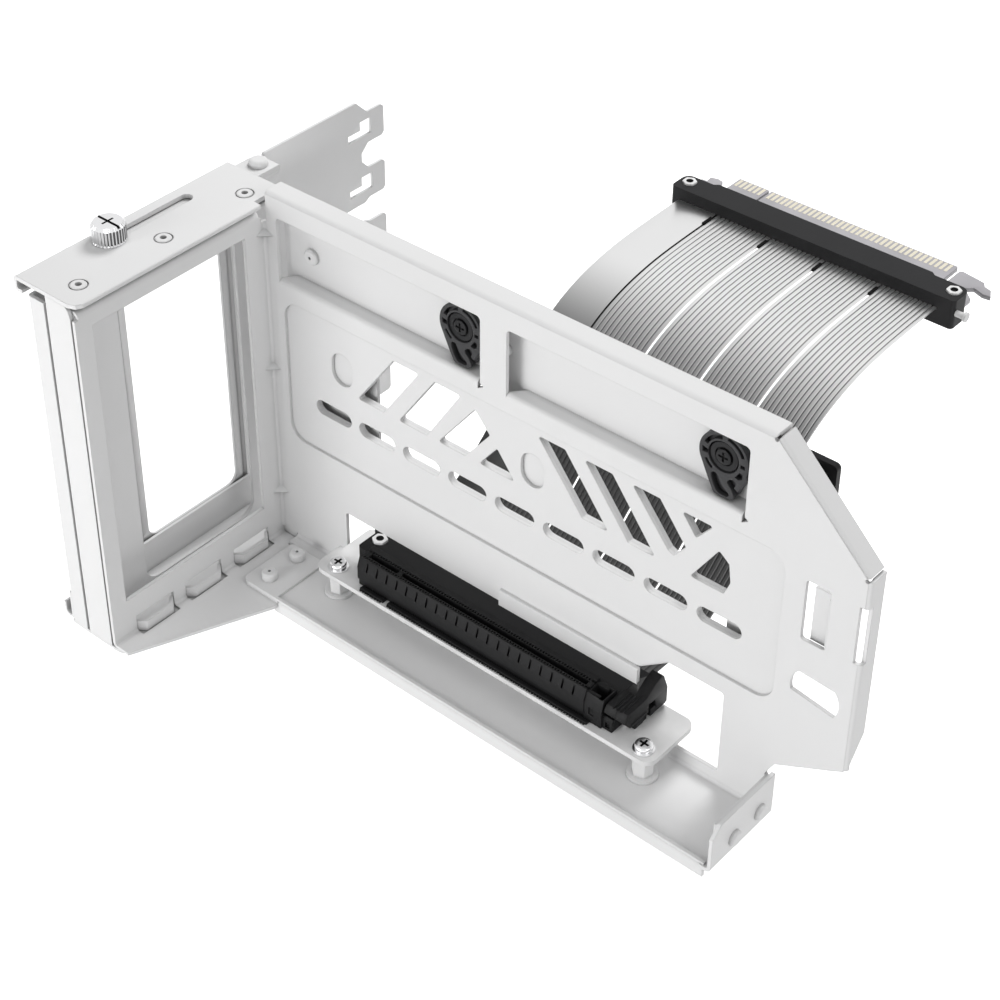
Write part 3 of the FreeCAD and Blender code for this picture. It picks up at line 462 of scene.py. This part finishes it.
SLOT_L, SLOT_R = 45.6, 134.0
SLIT_COUNT, SLIT_STEP = 21, 4.02
TOOTH_WIDTH, TOOTH_STEP = 0.45, 1.0
profile = [(-12.2, 9.8), (-12.2, 12.0), (-12.8, 12.5), (-12.8, 17.2), (-11.6, 20.5), (-11.2, 20.5), (-11.2, 19.7),
           (-10.4, 19.7), (-10.4, 20.4), (-10.1, 20.4), (-10.1, 13.0), (-8.3, 13.0), (-8.3, 20.4), (-8.1, 20.4),
           (-8.1, 19.7), (-7.3, 19.7), (-7.3, 20.6), (-5.2, 20.6), (-5.2, 9.8)]
shell = cut_plate("slot_shell", [profile], "x", SLOT_L, SLOT_R, 0.04)
carve(shell, row(block("slit", 49.2, 49.85, -14, -11.75, 16.6, 19.8), SLIT_COUNT, (SLIT_STEP, 0, 0)))
teeth = []
for y0, y1, first, count in ((-11.25, -10.35, 46.3, 87), (-8.15, -7.25, 47.3, 86)):
    tooth = block("tooth", first, first + TOOTH_WIDTH, y0, y1, 19.6, 20.45)
    teeth.append(row(tooth, count, (TOOTH_STEP, 0, 0)))
fills = [block("slot_end", SLOT_L, 47.9, -10.2, -8.2, 12.9, 20.45),
         block("slot_key", 59.4, 61.0, -10.2, -8.2, 12.9, 20.2),
         block("slot_far_end", 132.6, SLOT_R, -10.2, -8.2, 12.9, 20.45)]
tower = cut_plate("slot_tower", [[(-12.6, 9.8), (-12.6, 16.0), (-11.6, 19.9), (-5.3, 19.9), (-5.3, 9.8)]], "x",
                  SLOT_R, 140.3, 0.08)
carve(tower, block("pocket", 134.6, 139.0, -10.4, -7.2, 13.0, 21),
      block("cross_pocket", 138.4, 139.8, -11.6, -6.2, 14.6, 21),
      block("side_pocket", 135.6, 137.4, -14, -12.1, 12.6, 15.4))
step = cut_plate("slot_step", [[(-11.9, 9.8), (-11.9, 13.6), (-11.3, 14.3), (-5.4, 14.3), (-5.4, 9.8)]], "x",
                 140.2, 143.7, 0.1)
carve(step, block("step_pocket", 141.2, 142.8, -13, -11.2, 10.6, 12.6))
for post in (fills[0], tower):
    round_edges(post, 0.12)
finish_piece(unite("slot_body", [shell, tower, step] + teeth + fills), black_nylon, "carrier", "slot_housing")

# Foot of the slot: a dark base on the board, its front edge toothed by the pins

feet = []
for x0, x1 in ((47.6, 57.2), (58.8, 136.2)):
    feet.append(round_edges(block("slot_foot", x0, x1, -14.1, -12.3, 9.65, 10.5), 0.1))
    feet.append(row(block("pin", x0 + 0.3, x0 + 0.8, -14.6, -14.0, 9.65, 10.2), int(x1 - x0),
                    (TOOTH_STEP, 0, 0)))
finish_piece(unite("slot_base", feet), black_nylon, "carrier", "slot_pin_row")

# Plug's card with its two hooks, and gold pads along its edge

CARD_UNDER, CARD_TOP = 63.6, 65.2
PAD_WIDTH, PAD_STEP = 1.1, 1.88
card_edge = [(34.6, 166.5), (34.6, 175.6), (36.6, 175.8), (36.3, 178.4), (38.8, 179.4), (41.2, 178.8), (42.0, 176.0),
             (41.8, 172), (44.6, 172), (44.6, 184.0), (45, 184.4), (56.5, 184.4), (56.9, 184.0), (56.9, 174.2),
             (57.7, 174.2), (57.7, 184.0), (58.1, 184.4), (130.4, 184.4), (130.8, 183.9), (130.8, 172), (132.4, 172),
             (132.4, 182.4), (133.4, 183.0), (141.9, 181.6), (143.2, 179.7), (145.9, 178.9), (147.6, 175.8),
             (144.9, 175.4), (141.0, 176.8), (138.6, 174.6), (140.6, 173.2), (143.4, 170.5), (143.4, 166.5)]
card = cut_plate("plug_card", [card_edge[::-1]], "z", CARD_UNDER, CARD_TOP, 0.08)
finish_piece(card, card_mask, "carrier", "plug_board")

pads = []
for first, count in ((45.4, 6), (58.6, 38)):
    pad = block("pad", first, first + PAD_WIDTH, 179.3, 183.9, CARD_TOP, 65.26)
    pads.append(row(pad, count, (PAD_STEP, 0, 0)))
card_pads = unite("card_pads", pads)
finish_piece(card_pads, gold_pads, "carrier", "plug_fingers")

# Latch: lever with finger ridges on top and a claw behind

LEVER_L, LEVER_R = 144.7, 148.5
FOOT_L, FOOT_R = 145.0, 148.2
lever = cut_plate("lever", [[(-12.2, 16.2), (-11.2, 15.1), (-9.7, 13.0), (-1.2, 13.0), (-1.2, 16.2), (1.6, 15.8),
                             (2.6, 12.4), (4.6, 11.2), (7.6, 11.2), (7.6, 17.0), (5.6, 22.4), (4.6, 23.4),
                             (1.4, 22.2), (-2.8, 19.3), (-11.0, 19.1), (-12.0, 18.0)]],
                  "x", LEVER_L, LEVER_R, 0.3)
foot = cut_plate("lever_foot", [[(-7.0, 10.5), (-7.0, 13.2), (-3.1, 13.2), (-3.1, 10.5)]], "x", FOOT_L, FOOT_R, 0.2)
tail = cut_plate("lever_tail", [[(0.1, 10.5), (0.1, 13.2), (7.4, 13.2), (7.4, 10.5)]], "x", FOOT_L, FOOT_R, 0.2)
thumb_pad = cut_plate("lever_pad", [[(-3.3, 15.2), (-3.3, 19.2), (-11.0, 19.0), (-12.1, 17.6), (-12.2, 16.4),
                                     (-11.3, 15.2)]], "x", 140.8, 144.9, 0.25)
ridge = block("lever_ridge", 143.2, 143.65, -11.6, -3.6, 18.9, 19.4)
ridges = [row(round_edges(ridge, 0.12), 3, (1.15, 0, 0)),
          round_edges(block("lever_bar", 146.6, 147.0, -11.0, -1.0, 19.0, 19.5), 0.12),
          round_edges(block("lever_rib", 148.3, 148.75, -9.4, -2.2, 13.6, 14.4), 0.12)]
finish_piece(unite("latch_lever", [lever, foot, tail, thumb_pad] + ridges), black_nylon, "latch", "slot_latch")

# Thumb screw: knurled head with a broad chamfer, a slot right across and a cross in its middle

KNOB_X, KNOB_Y = -18.8, -43.0
KNOB_FOOT, KNOB_TOP, KNOB_R = 123.6, 129.6, 5.2
KNURL_LOW, KNURL_HIGH, FLUTES = 124.1, 128.6, 32
knob = rod("knurled_head", KNOB_R, (KNOB_X, KNOB_Y, KNOB_FOOT), (KNOB_X, KNOB_Y, KNOB_TOP), 3 * FLUTES)
bpy.ops.object.mode_set(mode="EDIT")
for height in (KNURL_HIGH, KNURL_LOW):
    bpy.ops.mesh.select_all(action="SELECT")
    bpy.ops.mesh.bisect(plane_co=at(KNOB_X, KNOB_Y, height), plane_no=(0, 0, 1))
bpy.ops.mesh.select_all(action="DESELECT")
bpy.ops.object.mode_set(mode="OBJECT")
knob_axis = at(KNOB_X, KNOB_Y, 126)
for vertex in knob.data.vertices:
    flute = math.atan2(vertex.co.y - knob_axis.y, vertex.co.x - knob_axis.x) / math.tau * FLUTES
    in_knurl = at(0, 0, KNURL_LOW - 0.1).z < vertex.co.z < at(0, 0, KNURL_HIGH + 0.1).z
    vertex.select = abs(flute - round(flute)) < 0.1 and in_knurl
bpy.context.tool_settings.mesh_select_mode = (True, False, False)
bpy.ops.object.mode_set(mode="EDIT")
bpy.ops.transform.resize(value=(0.945, 0.945, 1), center_override=knob_axis)
bpy.ops.mesh.select_all(action="DESELECT")
bpy.ops.object.mode_set(mode="OBJECT")
for vertex in knob.data.vertices:
    vertex.select = vertex.co.z > at(0, 0, KNOB_TOP - 0.1).z
bpy.ops.object.mode_set(mode="EDIT")
bpy.ops.transform.resize(value=(0.84, 0.84, 1), center_override=knob_axis)
bpy.ops.object.mode_set(mode="OBJECT")
carve(knob, block("slot_cut", KNOB_X - 7, KNOB_X + 7, KNOB_Y - 0.45, KNOB_Y + 0.45, 128.9, 131),
      block("cross_along", KNOB_X - 0.35, KNOB_X + 0.35, KNOB_Y - 2.1, KNOB_Y + 2.1, 127.9, 131),
      block("cross_over", KNOB_X - 2.1, KNOB_X + 2.1, KNOB_Y - 0.4, KNOB_Y + 0.4, 127.9, 131))
stem = rod("thumb_stem", 1.5, (KNOB_X, KNOB_Y, 117.4), (KNOB_X, KNOB_Y, 123.7), 32)
turned = unite("thumb_screw_turned", [knob, stem])
finish_piece(turned, bright_steel, "thumb", "thumb_screw", angle=22)


def in_knob_recess(middle, face):
    """The slot across the head and the cross in its middle."""
    in_head = 127.8 < middle.z < 129.55 and math.hypot(middle.x - KNOB_X, middle.y - KNOB_Y) < 4.6
    return in_head and (abs(middle.y - KNOB_Y) < 0.5 or abs(middle.x - KNOB_X) < 0.4)


def on_flute(middle, face):
    """The side of each flute of the knurl that is painted in shade."""
    flute = math.atan2(middle.y - KNOB_Y, middle.x - KNOB_X) / math.tau * FLUTES
    return (KNURL_LOW < middle.z < KNURL_HIGH and abs(face.normal.z) < 0.3
            and 0.05 < flute - math.floor(flute) < 0.4)


# The slot and the cross of the head are painted dark as shade
paint_faces_in_shade(turned, steel_recess_shade, in_knob_recess)
# One side of each flute is painted darker as shade
paint_faces_in_shade(turned, steel_painted_shade, on_flute)

# Screws of the riser board: low round head on a washer, with a cross recess

BOARD_SCREWS = ((35.3, -10.7), (154.2, -10.8))
WASHER_FOOT, WASHER_TOP = 9.6, 10.2
screw_parts = []
for x, y in BOARD_SCREWS:
    washer = round_edges(rod("board_washer", 3.3, (x, y, WASHER_FOOT), (x, y, WASHER_TOP)), 0.12)
    head = rod("board_screw_head", 2.75, (x, y, WASHER_TOP), (x, y, 12.0), 64)
    round_edges(head, 0.75, 4)
    carve(head, block("cross_a", x - 1.6, x + 1.6, y - 0.38, y + 0.38, 10.9, 13),
          block("cross_b", x - 0.38, x + 0.38, y - 1.6, y + 1.6, 10.9, 13))
    screw_parts += [washer, head, rod("board_screw_shank", 1.3, (x, y, 2.5), (x, y, 10.3), 24)]
riser_screws = unite("riser_screws", screw_parts)
finish_piece(riser_screws, bright_steel, "carrier", "board_screws")


def in_screw_recess(middle, face):
    """The cross in a head."""
    away = min(math.hypot(middle.x - x, middle.y - y) for x, y in BOARD_SCREWS)
    return 10.8 < middle.z < 11.97 and away < 1.7


# The cross in each head is painted dark as shade
paint_faces_in_shade(riser_screws, steel_recess_shade, in_screw_recess)

# Hex nuts with plain round holes

NUTS = ((41.8, 1.6, 15.1, 17.1), (37.2, 164.6, 68.3, 70.5), (140.3, 164.6, 68.3, 70.5))
nut_parts = []
for x, y, z0, z1 in NUTS:
    nut = rod("hex_nut", 2.65, (x, y, z0), (x, y, z1), 6)
    round_edges(nut, 0.25)
    carve(nut, rod("thread", 1.25, (x, y, z1 - 1.2), (x, y, z1 + 1), 24))
    nut_parts.append(nut)
finish_piece(nut_parts[0], white_nylon, "carrier", "overmold_nut")
plug_nut_pair = unite("plug_hex_nuts", nut_parts[1:])
finish_piece(plug_nut_pair, white_nylon, "carrier", "plug_nuts")


def in_nut_hole(middle, face):
    """The inside of a nut's hole, painted dark grey as shade."""
    return any(math.hypot(middle.x - x, middle.y - y) < 1.3 and middle.z < z1 - 0.05 for x, y, z0, z1 in NUTS)


# The hole walls are painted dark grey as shade
for piece in (nut_parts[0], plug_nut_pair):
    paint_faces_in_shade(piece, steel_painted_shade, in_nut_hole)

# Mounting plate: two press lines, shallow grooves, run round its opening

PRESS_WIDTH = 0.9
PRESS_LINES = ((-42.2, 3.4, 5.0, 115.4, 4.0), (-44.9, 6.1, 2.3, 118.0, 6.5))


def rounded(y0, y1, z0, z1, radius):
    """Outline of a rectangle with round corners."""
    return (arc(y1 - radius, z1 - radius, radius, 0, 90, 8) + arc(y0 + radius, z1 - radius, radius, 90, 180, 8)
            + arc(y0 + radius, z0 + radius, radius, 180, 270, 8) + arc(y1 - radius, z0 + radius, radius, 270, 360, 8))


deselect()
pressed = nodes["mounting_plate"].copy()
pressed.data = pressed.data.copy()
pressed.name = "pressed_plate"
bpy.context.scene.collection.objects.link(pressed)
pick(pressed)
bpy.ops.object.mode_set(mode="EDIT")
bpy.ops.mesh.select_all(action="SELECT")
bpy.ops.mesh.remove_doubles(threshold=0.00001)
bpy.ops.object.mode_set(mode="OBJECT")
for y0, y1, z0, z1, corner in PRESS_LINES:
    outer = rounded(y0, y1, z0, z1, corner)
    inner = rounded(y0 + PRESS_WIDTH, y1 - PRESS_WIDTH, z0 + PRESS_WIDTH, z1 - PRESS_WIDTH, corner - 0.7)
    carve(pressed, cut_plate("press_line", [outer, inner], "x", -21.3, -20.2, 0.0))
finish_piece(pressed, white_coat, "case_side", "mounting_plate")

# Flat ribbon cable: five strips, the first smooth, the others ribbed by their conductors

STRIP_EDGES = (36.6, 52.6, 74.9, 96.3, 117.7, 138.3)
ROUTE = ((12.65, 9.3), (22, 8.9), (32, 9.2), (41, 10.6), (54, 20), (66, 31.5), (79, 44.5), (90, 54.2), (104, 60.4),
         (121, 63.9), (140, 65.0), (158.97, 65.2))
STRIP_GAP = 0.4
STRIP_THICK = 1.0
GROOVE = 0.3
CONDUCTORS = 12


def strip_section(width, ribs):
    """Closed outline of one strip, flat below and above or with a round rib for every conductor."""
    half, thick = width / 2, STRIP_THICK / 2
    top = []
    if ribs:
        pitch = width / ribs
        for i in range(ribs):
            for share, height in ((0, 0), (0.1, 0.16), (0.3, 0.26), (0.7, 0.26), (0.9, 0.16), (1, 0)):
                top.append((-half + pitch * i + GROOVE / 2 + (pitch - GROOVE) * share, thick - 0.4 + height))
    else:
        top = [(-half, thick - 0.25), (-half + 0.4, thick), (half - 0.4, thick), (half, thick - 0.25), (half, 0.15),
               (half + STRIP_GAP, 0.15)]
    bottom = [(x, -y) for x, y in reversed(top)]
    return top + bottom


def spline_curve(name, points, kind, closed=False):
    """A curve through points in metres: a smooth route or a closed outline."""
    data = bpy.data.curves.new(name, "CURVE")
    data.dimensions = "3D"
    spline = data.splines.new(kind)
    spline.points.add(len(points) - 1)
    for p, co in zip(spline.points, points):
        p.co = (*co, 1)
    spline.use_cyclic_u = closed
    if kind == "NURBS":
        spline.order_u = 3
        spline.use_endpoint_u = True
        spline.resolution_u = 10
    curve = bpy.data.objects.new(name, data)
    bpy.context.scene.collection.objects.link(curve)
    return curve


for i in range(len(STRIP_EDGES) - 1):
    smooth = i == 0
    left, right = STRIP_EDGES[i] + STRIP_GAP / 2, STRIP_EDGES[i + 1] - STRIP_GAP / 2
    middle = (left + right) / 2
    route = spline_curve("route_%d" % (i + 1), [at(middle, y, z) for y, z in ROUTE], "NURBS")
    line = bpy.data.meshes.new_from_object(route)
    outline = [(x / 1000, y / 1000, 0) for x, y in strip_section(right - left, 0 if smooth else CONDUCTORS)]
    section = spline_curve("section_%d" % (i + 1), outline, "POLY", True)
    route.data.twist_mode = "Z_UP"
    route.data.bevel_mode = "OBJECT"
    route.data.bevel_object = section
    route.data.use_fill_caps = True
    pick(route)
    bpy.ops.object.convert(target="MESH")
    strip = bpy.context.view_layer.objects.active
    strip.name = "strip_%d" % (i + 1)
    bpy.data.objects.remove(section)
    bpy.ops.object.shade_smooth_by_angle(angle=math.radians(40))
    paint(strip, smooth_foil if smooth else ribbed_foil)
    pitch = (right - left) / CONDUCTORS
    if smooth:
        # The smooth strip's side by the gap to the next strip is painted black as shade in that gap
        paint_faces_in_shade(strip, black_painted_shade, lambda middle, face: middle.x > right - 0.02)
    else:
        # The grooves between the conductors are painted dark as shade
        paint_faces_in_shade(strip, groove_painted_shade, lambda middle, face: len(face.vertices) == 4 and abs(
            (middle.x - left) / pitch - round((middle.x - left) / pitch)) * pitch < GROOVE * 0.4)
    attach(strip, "carrier")
    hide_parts("ribbon_%d" % (i + 1))

# Blocks painted black as shade in the mouths where the strips part before the plug

mouth_shades = []
for x in STRIP_EDGES[1:-1]:
    mouth_shades.append(block("mouth", x - 0.55, x + 0.5, 151.6, 156.5, 64.9, 65.85))
finish_piece(unite("plug_mouth_shades", mouth_shades), black_painted_shade, "carrier")

# Camera at the photograph's viewing place

RIGHT = Vector((0.7407, 0.6716, -0.0176))
DOWN = Vector((0.3799, -0.4403, -0.8135))
AHEAD = Vector((-0.5541, 0.5958, -0.5813))
bpy.ops.object.camera_add(location=at(408.48, -377.83, 460.08))
camera = bpy.context.object
turn = Matrix((RIGHT, -DOWN, -AHEAD)).transposed()
camera.rotation_euler = turn.to_euler()
camera.data.sensor_width = 36
camera.data.lens = 79.48
camera.data.shift_x = 0.0911
camera.data.shift_y = -0.1353
camera.data.clip_start = 0.01
bpy.context.scene.camera = camera

# Floor, world and lamps

FLOOR_Z = at(0, 0, -90).z
bpy.ops.mesh.primitive_plane_add(size=6, location=(0.1, 0.1, FLOOR_Z))
floor = bpy.context.object
floor.name = "studio_floor"


def seen_directly(tree):
    """One for what the camera, a mirror or a clear piece sees, else zero."""
    path = tree.nodes.new("ShaderNodeLightPath")
    first = tree.nodes.new("ShaderNodeMath")
    first.operation = "MAXIMUM"
    second = tree.nodes.new("ShaderNodeMath")
    second.operation = "MAXIMUM"
    tree.links.new(path.outputs["Is Camera Ray"], first.inputs[0])
    tree.links.new(path.outputs["Is Glossy Ray"], first.inputs[1])
    tree.links.new(first.outputs[0], second.inputs[0])
    tree.links.new(path.outputs["Is Transmission Ray"], second.inputs[1])
    return second.outputs[0]


floor_white, floor_tree, floor_shader = new_material("floor white", (0.9, 0.9, 0.9), 0.9)[:3]
floor_shader.inputs["Emission Color"].default_value = (1, 1, 1, 1)
glow = floor_tree.nodes.new("ShaderNodeMath")
glow.operation = "MULTIPLY"
glow.inputs[1].default_value = 0.75
floor_tree.links.new(seen_directly(floor_tree), glow.inputs[0])
floor_tree.links.new(glow.outputs[0], floor_shader.inputs["Emission Strength"])
paint(floor, floor_white)

world = bpy.data.worlds.new("studio")
bpy.context.scene.world = world
world.use_nodes = True
world_tree = world.node_tree
sky = world_tree.nodes["Background"]
sky.inputs["Color"].default_value = (1, 1, 1, 1)
level = world_tree.nodes.new("ShaderNodeMapRange")
level.inputs["To Min"].default_value = 0.30
level.inputs["To Max"].default_value = 1.0
world_tree.links.new(seen_directly(world_tree), level.inputs["Value"])
world_tree.links.new(level.outputs["Result"], sky.inputs["Strength"])


LAMP_TARGET = (60, 0, 60)


def softbox(name, spot, size, power):
    """A round lamp at a place in mm, aimed at the middle of the object."""
    bpy.ops.object.light_add(type="AREA", location=at(*spot))
    lamp = bpy.context.object
    lamp.name = name
    lamp.data.shape = "DISK"
    lamp.data.size = size
    lamp.data.energy = power
    lamp.rotation_euler = (at(*LAMP_TARGET) - at(*spot)).to_track_quat("-Z", "Y").to_euler()
    return lamp


# The top lamp is kept out of reflections, where it would burn out the foil
top_lamp = softbox("top_softbox", (-60, 600, 850), 0.5, 6.9)
top_lamp.visible_glossy = False
softbox("front_softbox", (-160, -930, 240), 0.55, 4.9)
softbox("side_softbox", (850, -80, 560), 0.5, 1.7)

bpy.context.scene.view_settings.view_transform = "Standard"
